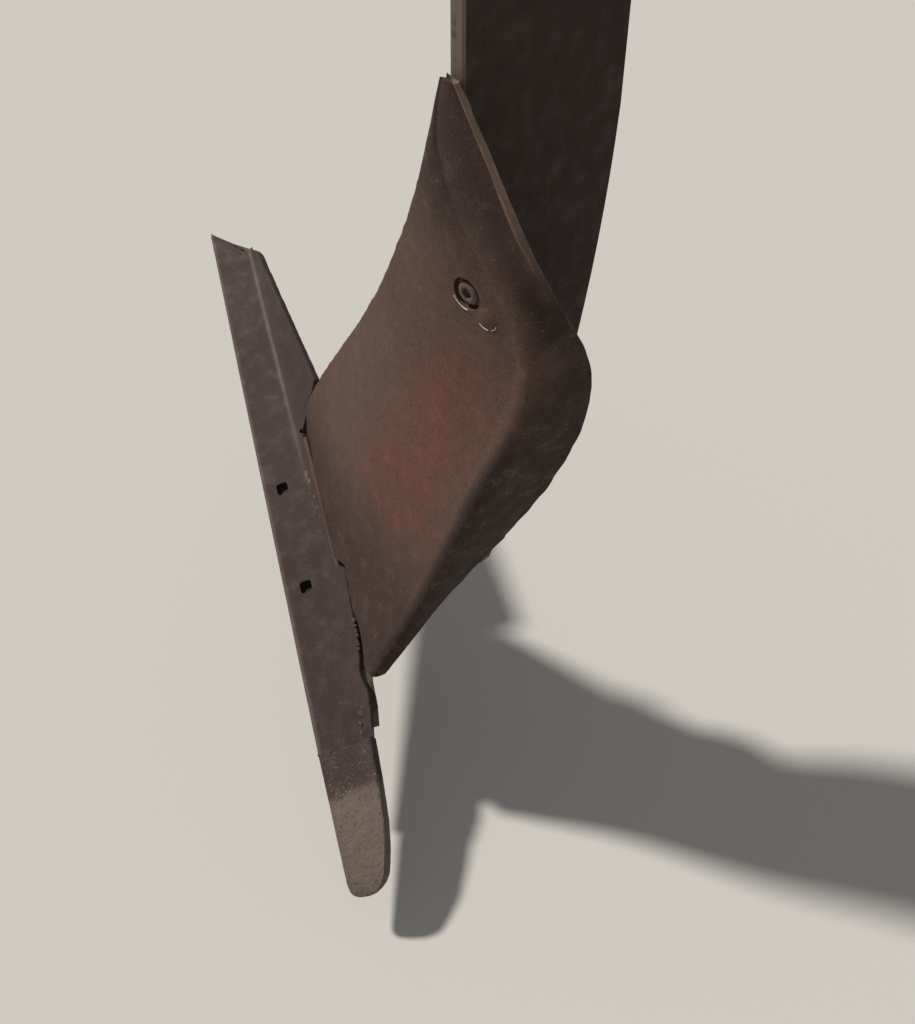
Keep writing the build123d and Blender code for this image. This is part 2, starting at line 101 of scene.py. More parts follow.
def climbing(rake):
    """Unit direction that climbs behind the edge: BACK times the rake's cosine and LIFT times its sine."""
    return BACK * math.cos(math.radians(rake)) + LIFT * math.sin(math.radians(rake))


FACE_ACROSS, FLANGE_ACROSS = climbing(SHARE_RAKE), climbing(FLANGE_RAKE)
FACE_IN, FLANGE_IN = np.cross(ALONG, FACE_ACROSS), np.cross(ALONG, FLANGE_ACROSS)
ON_FACE, ON_FLANGE = (ALONG, FACE_ACROSS, FACE_IN), (ALONG, FLANGE_ACROSS, FLANGE_IN)


def placed(start, axes, steps):
    """Start plus each step times its axis, for steps that may be numbers or arrays."""
    steps = np.broadcast_arrays(*(np.asarray(step, float) for step in steps))
    return start + sum(step[..., None] * axis for step, axis in zip(steps, axes))


def on_face(along, across, depth=0.0):
    """Point on the share's face: a distance along, one across and a depth into the plate."""
    return placed(EDGE_START, ON_FACE, (along, across, depth))


def edge_across(along):
    """Setback of the cutting edge, in step with the distance along."""
    return TAIL_SETBACK * along / SHARE_LENGTH


# The ridge between face and flange is as far across as the blade's straight taper is at the crotch
taper = (CROTCH - POINT_LENGTH) / (SHARE_LENGTH - TAIL_SKEW - POINT_LENGTH)
RIDGE_ACROSS = RIDGE_START + (TAIL_SETBACK + TAIL_WIDTH - RIDGE_START) * taper
RIDGE = on_face(CROTCH, RIDGE_ACROSS)


def on_flange(along, height, depth=0.0):
    """Point on the flange: a distance along the share, a height above the ridge and a depth."""
    return placed(RIDGE, ON_FLANGE, (np.asarray(along, float) - CROTCH, height, depth))


def flange_height(along, tear=0.0):
    """Height of the flange's upper edge: a strip, a raised torn stretch, a step and a fall to the tail."""
    return np.interp(along, [
        TEAR_START - TEAR_RISE - tear, TEAR_START, TEAR_END, TEAR_END + TEAR_RISE + tear,
        CROTCH - CROTCH_STEP, CROTCH, SHARE_LENGTH - TAIL_SKEW,
    ], [
        JOINT_HEIGHT, JOINT_HEIGHT + tear, JOINT_HEIGHT + TEAR_RISE + tear, JOINT_HEIGHT,
        JOINT_HEIGHT, CROTCH_HEIGHT, TAIL_HEIGHT,
    ])


def joint_places(points):
    """Distance along the share and height in the flange's plane of each point."""
    return (points - RIDGE) @ ALONG + CROTCH, (points - RIDGE) @ FLANGE_ACROSS


# Curves and noise
def linear(values, low, high):
    """0 below low, 1 above high and straight between."""
    return np.clip((values - low) / (high - low), 0, 1)


def ramp(values, low, high):
    """0 below low, 1 above high and smooth between: t squared times three less twice t."""
    t = linear(values, low, high)
    return t * t * (3 - 2 * t)


def hump(values, middle, spread):
    """1 at the middle, falling on both sides as e to minus the squared distance in spreads."""
    return np.exp(-((values - middle) / spread) ** 2)


def wander(points, size, seed):
    """Smooth noise from -1 to 1: random values on a cubic lattice, blended with smoothstep weights."""
    cell = points / size + 500.0
    base = np.floor(cell).astype(np.int64)
    part = cell - base
    part = part * part * (3 - 2 * part)
    total = np.zeros(points.shape[:-1])
    for corner in np.ndindex(2, 2, 2):
        spot = base + np.array(corner)
        code = (spot @ np.array([73856093, 19349663, 83492791]) + seed * 7919) & 0xFFFFFFFF
        code = ((code ^ (code >> 15)) * 2246822519) & 0xFFFFFFFF
        code = ((code ^ (code >> 13)) * 3266489917) & 0xFFFFFFFF
        value = ((code ^ (code >> 16)) & 0xFFFF) / 32767.5 - 1
        total += value * np.prod(np.where(corner, part, 1 - part), axis=-1)
    return total


def rough(points, layers):
    """Sum of noise layers, each with its amount in millimetres, its size and its seed."""
    return sum(amount * wander(points, size, seed) for amount, size, seed in layers)


def natural_spline(knots, values, at):
    """Natural cubic spline through rows of values at the knots, read at many places. Its second derivatives
    solve a three-band system that keeps the slope continuous at each knot, and are 0 at both ends."""
    count = len(knots)
    step = np.diff(knots)
    matrix = np.eye(count)
    right = np.zeros(values.shape)
    for i in range(1, count - 1):
        matrix[i, i - 1:i + 2] = step[i - 1], 2 * (step[i - 1] + step[i]), step[i]
        right[i] = 6 * ((values[i + 1] - values[i]) / step[i] - (values[i] - values[i - 1]) / step[i - 1])
    curve = np.linalg.solve(matrix, right.reshape(count, -1)).reshape(values.shape)
    k = np.clip(np.searchsorted(knots, at) - 1, 0, count - 2)
    shape = (-1,) + (1,) * (values.ndim - 1)
    t, h = (at - knots[k]).reshape(shape), step[k].reshape(shape)
    slope = (values[k + 1] - values[k]) / h - h * (2 * curve[k] + curve[k + 1]) / 6
    return values[k] + t * (slope + t * (curve[k] / 2 + t * (curve[k + 1] - curve[k]) / (6 * h)))


# Surfaces
def grid_normals(points):
    """Unit normals of a grid of points: the cross product of its two differences."""
    normals = np.cross(np.gradient(points, axis=0), np.gradient(points, axis=1))
    return normals / np.maximum(np.linalg.norm(normals, axis=-1, keepdims=True), 1e-9)


def spanned(points, faces):
    """Six times the volume between faces and the origin: triple products of each face's fan, added up."""
    corners = points[faces]
    return np.sum(corners[:, :1] * np.cross(corners[:, 1:-1], corners[:, 2:]))


def solid(rows):
    """Closed tube of points and faces: rows of loops, each joined to the next by quads, and a face on both
    ends. Where its volume comes out negative, every face is turned, so that all point outward."""
    count, around = rows.shape[:2]
    points = rows.reshape(-1, 3)
    i, j = np.meshgrid(np.arange(count - 1), np.arange(around), indexing="ij")
    k = (j + 1) % around
    quads = np.stack([i * around + j, i * around + k, (i + 1) * around + k, (i + 1) * around + j], -1)
    quads = quads.reshape(-1, 4)
    ends = np.stack([np.arange(around)[::-1], np.arange(around) + (count - 1) * around])
    faces = quads.tolist() + ends.tolist()
    if spanned(points, quads) + spanned(points, ends) < 0:
        faces = [face[::-1] for face in faces]
    return points, faces


def together(shapes):
    """Several closed shapes as one list of points and faces."""
    points, faces, count = [], [], 0
    for shape_points, shape_faces in shapes:
        points.append(shape_points)
        faces += [[i + count for i in face] for face in shape_faces]
        count += len(shape_points)
    return np.concatenate(points), faces


def turned(centre, axis, profile, around=48, corners=0, corner_from=0):
    """Rings about an axis, one for each radius and height of the profile. From corner_from on, the rings take
    flat sides: the radius is the corner's, times cos(half a side) over cos(angle from the side's middle)."""
    side = direction(*np.cross(axis, [0.3, 0.2, 1.0]))
    other = np.cross(axis, side)
    angle = np.linspace(0, 2 * math.pi, around, endpoint=False)
    rows = []
    for index, (radius, height) in enumerate(profile):
        size = np.full(around, float(radius))
        if corners and index >= corner_from:
            half = math.pi / corners
            size = radius * math.cos(half) / np.cos((angle + half) % (2 * half) - half)
        ring = (side * np.cos(angle)[:, None] + other * np.sin(angle)[:, None]) * size[:, None]
        rows.append(centre + ring + axis * height)
    return solid(np.array(rows))


def square_ring(half, around):
    """Offsets of a rounded square: a superellipse of the fifth power with half its width as radius."""
    angle = np.linspace(0, 2 * math.pi, around, endpoint=False)
    c, s = np.cos(angle), np.sin(angle)
    reach = half / (np.abs(c) ** 5 + np.abs(s) ** 5) ** 0.2
    return reach * c, reach * s


def lump(centre, radii, axes, seed, wandering=0.3):
    """Small mass of spatter: a stretched sphere whose radius wanders."""
    u = np.linspace(0.02, math.pi - 0.02, 15)[:, None]
    v = np.linspace(0, 2 * math.pi, 22, endpoint=False)[None, :]
    ball = np.stack([np.sin(u) * np.cos(v), np.sin(u) * np.sin(v), np.cos(u) + 0 * v], -1)
    size = 1 + wandering * rough(ball * 10, [(1.0, 7.0, seed), (0.5, 3.0, seed + 1)])
    return solid(centre + (ball * size[..., None] * np.array(radii)) @ np.array(axes))


def lumps(rows, place, depth, axes, wandering=0.3):
    """A lump for each row of along, across, radii and seed, at one depth of a plate."""
    return [lump(place(along, across, depth), radii, axes, seed, wandering)
            for along, across, radii, seed in rows]


BEAD_STEP, RIPPLE, RIPPLE_LENGTH = 1.1, 0.10, 4.2


def bead(path, radius, seed, flat, up):
    """Weld bead: a tube along a path whose radius swells at each ripple and wanders, narrowed at its ends."""
    length = np.concatenate([[0], np.cumsum(np.linalg.norm(np.diff(path, axis=0), axis=1))])
    at = np.linspace(0, length[-1], max(int(length[-1] / BEAD_STEP), 12))
    line = np.stack([np.interp(at, length, path[:, i]) for i in range(3)], -1)
    run = np.gradient(line, axis=0)
    run /= np.linalg.norm(run, axis=1, keepdims=True)
    side = np.cross(run, up)
    side /= np.linalg.norm(side, axis=1, keepdims=True)
    over = np.cross(side, run)
    ripple = 1 + RIPPLE * np.sin(at * 2 * math.pi / RIPPLE_LENGTH) + 0.18 * wander(line, 9.0, seed)
    ends = np.clip(np.minimum(at, length[-1] - at) / radius, 0.15, 1) ** 0.5
    size = (radius * ripple * ends)[:, None, None]
    angle = np.linspace(0, 2 * math.pi, 12, endpoint=False)[None, :, None]
    outline = side[:, None] * np.cos(angle) + over[:, None] * flat * np.sin(angle)
    return solid(line[:, None] + outline * size)


# Making and cutting pieces
def mesh_piece(name, shape, material, replaces=(), sharp=35.0):
    """Object from points in millimetres and faces, shaded smooth below an edge angle, riding on the body."""
    points, faces = shape
    mesh = bpy.data.meshes.new(name)
    mesh.from_pydata((points * 0.001).tolist(), [], faces)
    mesh.validate()
    mesh.polygons.foreach_set("use_smooth", [True] * len(mesh.polygons))
    mesh.set_sharp_from_angle(angle=math.radians(sharp))
    mesh.materials.append(material)
    piece = bpy.data.objects.new(name, mesh)
    bpy.context.scene.collection.objects.link(piece)
    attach(piece, "root")
    if replaces:
        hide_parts(*replaces)
    return piece


def cut(piece, shape):
    """Takes a closed shape out of a piece with an exact boolean, then discards the shape."""
    points, faces = shape
    mesh = bpy.data.meshes.new("cutter")
    mesh.from_pydata((points * 0.001).tolist(), [], faces)
    cutter = bpy.data.objects.new("cutter", mesh)
    bpy.context.scene.collection.objects.link(cutter)
    modifier = piece.modifiers.new("cut", "BOOLEAN")
    modifier.operation, modifier.solver, modifier.object = "DIFFERENCE", "EXACT", cutter
    bpy.context.view_layer.update()
    done = bpy.data.meshes.new_from_object(piece.evaluated_get(bpy.context.evaluated_depsgraph_get()))
    piece.modifiers.remove(modifier)
    piece.data = done
    bpy.data.objects.remove(cutter)


# Board: points across the wing, the bend and the land strip, and rows from top to joint
WING_POINTS, BEND_POINTS, STRIP_POINTS = 96, 14, 30
TO_CROWN = WING_POINTS + 12
BOARD_ROWS, BOARD_SAMPLES = 190, 700
# Board's torn foot: ragged edge, play over the flange, and a wider stretch of the gap
TEAR_RAGGED = [(1.9, 7.0, 3), (1.2, 2.8, 4)]
TEAR_FADE, JOINT_PLAY = 14.0, 0.3
WIDE_GAP, WIDE_AT, WIDE_SPREAD = 6.5, 246.0, 24.0
# Board's plate: dents, rounding of the two side edges, and nicks in them
BOARD_DENTS = [(0.72, 70.0, 1), (0.28, 22.0, 2), (0.096, 7.0, 5)]
EDGE_ROWS, EDGE_BULGE = 4, 1.3
EDGE_WEAR, EDGE_NICKS = 0.4, [(0.7, 9.0, 7)]


def board_section(level):
    """Front line of the board at one level: a bowed wing, a parabola round the bend and a straight strip."""
    height, furrow, bend, land = level[0], level[1:3], level[3:5], level[5:7]
    to_furrow, to_land = direction(*(furrow - bend)), direction(*(land - bend))
    width, strip = np.linalg.norm(furrow - bend), np.linalg.norm(land - bend)
    trim = min(BEND_REACH, BEND_SHARE * strip)
    start, finish = bend + to_furrow * trim, bend + to_land * trim
    facing = np.array([-to_furrow[1], to_furrow[0]])
    facing = facing if facing[0] > 0 else -facing
    bulge = BOARD_BULGE * min(1.0, width / FULL_WIDTH)
    t = np.linspace(0, 1, WING_POINTS, endpoint=False)[:, None]
    wing = furrow * (1 - t) + start * t + 4 * t * (1 - t) * bulge * facing
    t = np.linspace(0, 1, BEND_POINTS, endpoint=False)[:, None]
    turn = (1 - t) ** 2 * start + 2 * t * (1 - t) * bend + t * t * finish
    t = np.linspace(0, 1, STRIP_POINTS)[:, None]
    edge = finish * (1 - t) + land * t
    line = np.concatenate([wing, turn, edge])
    return np.column_stack([line, np.full(len(line), height)]) + FOOT


board_sections = np.array([board_section(level) for level in BOARD_LEVELS])


def board_front(heights):
    """Front surface of the board, one row for each height: a spline through the levels."""
    return natural_spline(BOARD_LEVELS[:, 0], board_sections, heights)


def board_grid():
    """Front surface with each column running from the top to the joint with the flange. The end of a column
    is where its clearance over the flange's edge, less the ragged tear, changes sign."""
    surface = board_front(np.linspace(BOARD_TOP, BOARD_FOOT, BOARD_SAMPLES))
    along, height = joint_places(surface)
    torn = linear(np.minimum(along - TEAR_START, TEAR_END - along), -TEAR_FADE, 0)
    ragged = rough(surface, TEAR_RAGGED) + WIDE_GAP * hump(along, WIDE_AT, WIDE_SPREAD)
    clear = height - flange_height(along, TEAR_GAP) - JOINT_PLAY - ragged * torn
    below = clear < 0
    last = np.where(below.any(0), below.argmax(0), BOARD_SAMPLES - 1)
    columns = np.arange(surface.shape[1])
    before = np.maximum(last - 1, 0)
    above, under = clear[before, columns], clear[last, columns]
    share = np.where(below.any(0), above / np.maximum(above - under, 1e-6), 1.0)
    end = before + share * (last - before)
    steps = np.linspace(0, 1, BOARD_ROWS)[:, None] * end
    base = np.minimum(steps.astype(int), BOARD_SAMPLES - 2)
    part = (steps - base)[..., None]
    return surface[base, columns] * (1 - part) + surface[base + 1, columns] * part


def make_board():
    """Plate behind the front grid: front, rounded land edge, back and rounded furrow edge as one loop a row.
    The back is the front moved inward by the thickness."""
    front = board_grid()
    inward = grid_normals(front)
    if inward[BOARD_ROWS // 2, WING_POINTS // 2, 0] > 0:
        inward = -inward
    front = front + inward * rough(front, BOARD_DENTS)[..., None]
    back = front + inward * BOARD_THICK
    columns = front.shape[1]
    land_side = front[:, -1] - front[:, -3]
    land_side /= np.linalg.norm(land_side, axis=-1, keepdims=True)
    furrow_side = front[:, 0] - front[:, 2]
    furrow_side /= np.linalg.norm(furrow_side, axis=-1, keepdims=True)

    def rounded(a, b, side):
        """Edge from a to b, bowed out by a rounded half wave."""
        steps = np.linspace(0, 1, EDGE_ROWS + 2)[1:-1]
        bowed = [a * (1 - s) + b * s + side * (EDGE_BULGE * math.sin(math.pi * s) ** 0.6) for s in steps]
        return np.stack(bowed, 1)

    land = rounded(front[:, -1], back[:, -1], land_side)
    furrow = rounded(back[:, 0], front[:, 0], furrow_side)
    loops = np.concatenate([front, land, back[:, ::-1], furrow], axis=1)
    outermost = np.minimum(np.arange(columns), np.arange(columns)[::-1]) < 2
    bowed = np.ones(EDGE_ROWS, bool)
    near = np.concatenate([outermost, bowed, outermost, bowed])
    away = (front + back).mean(axis=1, keepdims=True) / 2 - loops
    away /= np.maximum(np.linalg.norm(away, axis=-1, keepdims=True), 1e-6)
    worn = rough(loops, EDGE_NICKS) + EDGE_WEAR
    return solid(loops + away * (worn * near)[..., None])


def place_on_board(height, y):
    """Point and outward normal of the board's front at a height and a landward place, from the foot."""
    row = board_front(np.array([height - 1.0, height, height + 1.0]))
    line = row[1]
    column = int(np.argmin(np.abs(line[:TO_CROWN, 1] - FOOT[1] - y)))
    normal = direction(*np.cross(row[2, column] - row[0, column], line[column + 1] - line[column - 1]))
    return line[column], normal if normal[0] > 0 else -normal


def wing_x(heights, y):
    """Forward place of the board's front, from the foot, for rows of heights and landward places."""
    lines = board_front(heights) - FOOT
    return np.array([np.interp(y, line[:TO_CROWN, 1], line[:TO_CROWN, 0]) for line in lines])


def behind_board(heights, y, depth):
    """Points at a depth behind the board's front, for rows of heights and landward places from the foot. The
    front is moved against its normals, then each column is read at the heights asked for."""
    levels = np.linspace(20.0, 640.0, 311)
    x = wing_x(levels, y)
    places = np.stack([x, np.broadcast_to(y, x.shape), np.broadcast_to(levels[:, None], x.shape)], -1)
    normals = grid_normals(places)
    normals *= np.where(normals[..., :1] > 0, 1, -1)
    shifted = places - normals * depth
    columns = [[np.interp(heights[:, j], levels, shifted[:, j, i]) for i in range(3)] for j in range(len(y))]
    return np.array(columns).transpose(2, 0, 1)


# Frog behind the board: clearance to the board's front, web beside the leg, backing, seat behind the flange
FROG_CLEARANCE, FROG_FACE, FROG_THICK = 9.4, -116.3, 20.0
WEB_TOP, WEB_FOOT, WEB_GAP = 330.0, 205.0, 2.0
WEB_REAR = [(-300.0, 195.0), (-345.0, 240.0), (-345.0, 330.0)]
BACKING_FURROW, BACKING_TOP, BACKING_OVERLAP = -268.0, 296.0, 4.0
BACKING_FOOT, BACKING_SLOPE, BACKING_FROM = 165.0, 0.6, -200.0
SEAT_START, SEAT_END, SEAT_HEIGHT, SEAT_DROP, SEAT_LEAST = 157.0, 332.0, 91.0, 12.0, 10.0
SEAT_HEEL, HEEL_START, HEEL_REACH = 22.0, 165.0, 50.0
# The seat's front and rear: distance behind the edge's line, and what is added past the seat's near end
SEAT_FRONT, SEAT_REAR = (65.5, 7.5), (74.0, 13.0)
SEAT_SPREAD_START, SEAT_SPREAD_REACH = 175.0, 70.0
SEAT_LEVELS = np.linspace(20.0, 260.0, 121)
BOARD_SLANT = 0.85


def make_backing():
    """Shell behind the board, from a level top down to the joint or a slanting limit, whichever is higher."""
    y = np.linspace(BACKING_FURROW, FROG_FACE - 1, 40)
    heights = np.linspace(20, BACKING_TOP, 140)[:, None] * np.ones(len(y))
    joint = joint_places(behind_board(heights, y, FROG_CLEARANCE) + FOOT)[1]
    lowest = [np.interp(JOINT_HEIGHT - BACKING_OVERLAP, joint[:, j], heights[:, j]) for j in range(len(y))]
    lowest = np.maximum(lowest, BACKING_FOOT + BACKING_SLOPE * (y - BACKING_FROM))
    heights = BACKING_TOP + (lowest - BACKING_TOP) * np.linspace(0, 1, 50)[:, None]
    front = behind_board(heights, y, FROG_CLEARANCE)
    rear = behind_board(heights, y, FROG_CLEARANCE + FROG_THICK)
    return solid(np.concatenate([front, rear[:, ::-1]], axis=1) + FOOT)


def make_web():
    """Upright plate beside the leg: its front edge follows the board's back, its rear is straight runs."""
    heights = np.linspace(WEB_TOP, WEB_FOOT, 30)[:, None] * np.ones(2)
    sides = np.array([FROG_FACE - FROG_THICK, FROG_FACE])
    edge = behind_board(heights, sides, FROG_CLEARANCE + WEB_GAP).min(axis=1)
    outline = list(zip(edge[:, 0], heights[:, 0])) + WEB_REAR
    return solid(np.array([[(x, side, z) for x, z in outline] for side in sides]) + FOOT)


def make_seat():
    """Upright strip along the share behind its flange: it rises to the board's back or to its full height."""
    s = np.linspace(SEAT_START, SEAT_END, 50)
    climb = math.tan(rise)
    run = direction(ALONG[0], ALONG[1], 0)
    spread = linear(s, SEAT_SPREAD_START, SEAT_SPREAD_START + SEAT_SPREAD_REACH)
    low = climb * s - SEAT_DROP - SEAT_HEEL * (1 - linear(s, HEEL_START, HEEL_START + HEEL_REACH))
    loops = []
    for (setback, added), part in [(SEAT_FRONT, 0), (SEAT_FRONT, 1), (SEAT_REAR, 1), (SEAT_REAR, 0)]:
        line = EDGE_START - FOOT + s[:, None] * run + BACK * (setback + spread * added)[:, None]
        clear = (wing_x(SEAT_LEVELS, line[:, 1]) - line[:, 0]) * BOARD_SLANT > FROG_CLEARANCE
        top = SEAT_LEVELS[clear.argmin(axis=0)]
        top = np.minimum(np.maximum(top, low + SEAT_LEAST), climb * s + SEAT_HEIGHT)
        loops.append(np.column_stack([line[:, :2], low + (top - low) * part]))
    return solid(np.stack(loops, axis=1) + FOOT)


# Bracket behind the board's bolts: heights, landward places and the pad's two depths behind the board's front
LAND_FACE, BRACKET_EDGE = -91.0, -42.0
BRACKET_LOW, BRACKET_HIGH, GUSSET_THICK = 505.0, 600.0, 10.0
PAD_FRONT, PAD_REAR = 9.2, 21.0
GUSSET = np.array([(-250.0, LAND_FACE), (-238.0, LAND_FACE), (-238.0, -60.0), (-246.0, -56.0)])


def make_bracket():
    """Pad that follows the board's back, and two gussets that start at the leg's land face."""
    y = np.linspace(LAND_FACE, BRACKET_EDGE, 20)
    heights = np.linspace(BRACKET_LOW, BRACKET_HIGH, 40)[:, None] * np.ones(len(y))
    front, rear = behind_board(heights, y, PAD_FRONT), behind_board(heights, y, PAD_REAR)
    shapes = [solid(np.concatenate([front, rear[:, ::-1]], axis=1) + FOOT)]
    for low in (BRACKET_LOW, BRACKET_HIGH - GUSSET_THICK):
        ends = [np.column_stack([GUSSET, np.full(4, z)]) for z in (low, low + GUSSET_THICK)]
        shapes.append(solid(np.array(ends) + FOOT))
    return together(shapes)


# Share's section, from the cutting edge on: share of the face's width and depth round the edge, the fold, the
# flange's lip as rise and depth, and the bevel underneath
EDGE_ROUND = [(0.0, 6.6), (-0.012, 5.0), (-0.012, 3.0), (-0.004, 1.2), (0.012, 0.25)]
FOLD_REACH, FOLD_HEIGHT = 0.12, 7.0
FLANGE_LIP = [(-0.7, 0.2), (0.0, 1.2), (0.1, 4.5), (0.0, 7.8), (-0.8, 8.9)]
UNDER_PLAY, UNDER_END, UNDER_BEVEL = 2.0, 0.3, [(0.22, SHARE_THICK), (0.11, 9.3)]
# Along the share: gap at the point, rounded tail, then the flange's fall, dip and thin metal near the point
POINT_GAP = 0.3
TAIL_ROUND, TAIL_ROUND_FROM, TAIL_FALL, TAIL_FALL_REACH = 9.0, 0.72, 9.0, 18.0
LIP_WEAR, NEAR_FALL, NEAR_REACH = 0.4, 8.5, 50.0
DIP, DIP_AT, DIP_SPREAD = 4.0, 208.0, 14.0
THIN_SHARE, THIN_END, THIN_REACH = 0.4, 190.0, 60.0
LIP_ROUGH = [(0.5, 8.0, 12), (0.35, 3.0, 13)]
SHARE_DENTS = [(0.35, 60.0, 21), (0.175, 15.0, 22), (0.07, 5.0, 23)]
CHIPS, CHIP_SIZE, CHIP_ROUGH = 1.6, (11.0, 24), [(0.4, 3.0, 25)]


def under_ridge():
    """Distance across and height, from the ridge, where the flange's back meets the face's underside: the
    crossing of two lines, each a plate's thickness behind its front."""
    c, s = math.cos(math.radians(SHARE_RAKE)), math.sin(math.radians(SHARE_RAKE))
    e, f = math.cos(math.radians(FLANGE_RAKE)), math.sin(math.radians(FLANGE_RAKE))
    gap = np.array([FLANGE_THICK * f - SHARE_THICK * s, SHARE_THICK * c - FLANGE_THICK * e])
    return np.linalg.solve(np.array([[c, -e], [s, -f]]), gap)


def make_share():
    """Section carried along the share: edge, face, fold, flange and underside. Each of its points ends at its
    own distance along, so that the tail is skewed."""
    start, flange_end = POINT_LENGTH + POINT_GAP, SHARE_LENGTH - TAIL_SKEW
    base = np.unique(np.concatenate([
        np.linspace(start, flange_end, 250),
        [TEAR_START - TEAR_RISE, TEAR_START, TEAR_END, TEAR_END + TEAR_RISE, CROTCH - CROTCH_STEP, CROTCH],
    ]))
    inner_across, inner_height = under_ridge()

    def face_points(share, depth):
        """Face points at a share of the way from the edge to the ridge, ending on the skewed tail."""
        end = SHARE_LENGTH - TAIL_SKEW * share - TAIL_ROUND * linear(share, TAIL_ROUND_FROM, 1.0) ** 2
        along = start + (base - start) * (end - start) / (flange_end - start)
        edge = edge_across(along)
        return on_face(along, edge + (RIDGE_ACROSS - edge) * share, depth)

    rows = [face_points(share, depth) for share, depth in EDGE_ROUND]
    rows += [face_points(share, 0.0) for share in np.linspace(0.03, 0.88, 26)]
    fold_start = on_face(base, RIDGE_ACROSS * (1 - FOLD_REACH))
    corner, fold_end = on_face(base, RIDGE_ACROSS), on_flange(base, FOLD_HEIGHT)
    for t in np.linspace(0.12, 1, 7):
        rows.append(fold_start * (1 - t) ** 2 + corner * (2 * t * (1 - t)) + fold_end * t * t)

    top = flange_height(base)
    top = top + rough(on_flange(base, top), LIP_ROUGH) - LIP_WEAR
    top = top - TAIL_FALL * linear(base, flange_end - TAIL_FALL_REACH, flange_end) ** 2
    top = top - NEAR_FALL * (1 - linear(base, start, start + NEAR_REACH)) ** 1.5
    top = top - DIP * hump(base, DIP_AT, DIP_SPREAD)
    thin = THIN_SHARE + (1 - THIN_SHARE) * linear(base, THIN_END, THIN_END + THIN_REACH)
    for t in np.linspace(0.15, 0.93, 9):
        rows.append(on_flange(base, FOLD_HEIGHT + (top - FOLD_HEIGHT) * t))
    for raised, depth in FLANGE_LIP:
        rows.append(on_flange(base, top + raised, depth * thin))
    for t in np.linspace(0.25, 1, 4):
        rows.append(on_flange(base, (top - 1) * (1 - t) + (inner_height + 2) * t, FLANGE_THICK * thin))
    # The underside starts as a thin lip ahead of the cutting edge and runs back to the bevel
    under = np.linspace((inner_across - UNDER_PLAY) / RIDGE_ACROSS, UNDER_END, 8)
    rows += [face_points(share, SHARE_THICK) for share in under]
    rows += [face_points(share, depth) for share, depth in UNDER_BEVEL]

    loops = np.stack(rows, axis=1)
    loops = loops + FACE_IN * rough(loops, SHARE_DENTS)[..., None]
    chipped = np.zeros(loops.shape[1])
    chipped[:len(EDGE_ROUND)], chipped[-1] = 1.0, 0.5
    nick = CHIPS * np.clip(wander(loops, *CHIP_SIZE), 0, 1) + rough(loops, CHIP_ROUGH)
    return solid(loops + FACE_ACROSS * (nick * chipped)[..., None])


def square_plug(along):
    """Prism with a rounded square outline, square to the share's face and through it."""
    c, s = square_ring(HOLE_SIZE / 2, 24)
    return solid(np.array([on_face(along + c, HOLE_ACROSS + s, depth) for depth in (-40.0, 40.0)]))


# Dark fill in the square holes as painted shade: share of the ring's width and depth below the face, from the
# top's middle down
HOLE_SHADE_SPREAD = 0.2
HOLE_SHADE_RINGS = [
    (0.06, 8.2), (0.35, 8.0), (0.65, 7.4), (0.88, 6.4), (1.0, 5.0), (1.0, 10.4), (0.5, 11.2), (0.06, 11.2)]


def hole_shade_plug(along, seed):
    """Dark plug in a square hole, painted shade where the floor would show: a rough dished top below the face
    and a flat underside.
    """
    c, s = square_ring(HOLE_SIZE / 2 + HOLE_SHADE_SPREAD, 40)
    rows = []
    for part, depth in HOLE_SHADE_RINGS:
        ring = on_face(along + part * c, HOLE_ACROSS + part * s, depth)
        rows.append(ring + FACE_IN * rough(ring, [(0.9, 4.0, seed)])[:, None])
    return solid(np.array(rows))


# Point: distance along, then left and right edge across, from its tip to the seam with the share
POINT_OUTLINE = np.array([
    (-8.5, 15.0, 19.0), (-8.0, 11.0, 25.0), (-6.5, 6.5, 29.0), (-4.0, 3.2, 33.5), (0.0, 0.8, 38.5),
    (7.0, 0.0, 43.5), (30.0, 0.1, 51.0), (57.0, 0.3, 57.5), (100.0, 0.8, 62.5), (142.0, 1.2, 66.0),
])
NOSE_REACH, NOSE_TOP, NOSE_UNDER = 9.0, 5.0, 7.0
CREASE_ACROSS, CREASE_CLIMB = 46.0, 0.32
# Share of the way across and from top to underside, round the right side and round the worn cutting edge
RIGHT_ROUND = [(0.985, 0.08), (1.0, 0.25), (1.004, 0.5), (1.0, 0.75), (0.985, 0.93)]
LEFT_ROUND = [(0.17, 0.85), (0.06, 0.6), (0.0, 0.4), (-0.005, 0.2), (0.008, 0.06)]
POINT_ROUGH = [(0.64, 26.0, 31), (0.36, 8.0, 32), (0.2, 3.0, 33)]


def make_point():
    """Blunt plate with a low ridge: top, rounded right side, underside and worn edge as one loop a row. At the
    nose, top and underside close in on each other by e to minus the distance from the tip."""
    tip = POINT_OUTLINE[0, 0]
    along = tip + (POINT_LENGTH - tip) * np.linspace(0, 1, 110) ** 1.5
    left, right = (np.interp(along, POINT_OUTLINE[:, 0], POINT_OUTLINE[:, i]) for i in (1, 2))
    nose = np.exp(-(along - tip) / NOSE_REACH)
    top, under = NOSE_TOP * nose, POINT_THICK - NOSE_UNDER * nose

    def section(share, part):
        """Points at a share of the way across and a part of the way from the top to the underside."""
        across = left + (right - left) * share
        raised = CREASE_CLIMB * np.clip(across - CREASE_ACROSS, 0, None)
        return on_face(along, across, top + (under - top) * part - raised)

    rows = [section(share, 0.0) for share in np.linspace(0.03, 0.96, 34)]
    rows += [section(share, part) for share, part in RIGHT_ROUND]
    rows += [section(share, 1.0) for share in np.linspace(0.94, 0.3, 10)]
    rows += [section(share, part) for share, part in LEFT_ROUND]
    loops = np.stack(rows, axis=1)
    return solid(loops + FACE_IN * rough(loops, POINT_ROUGH)[..., None])


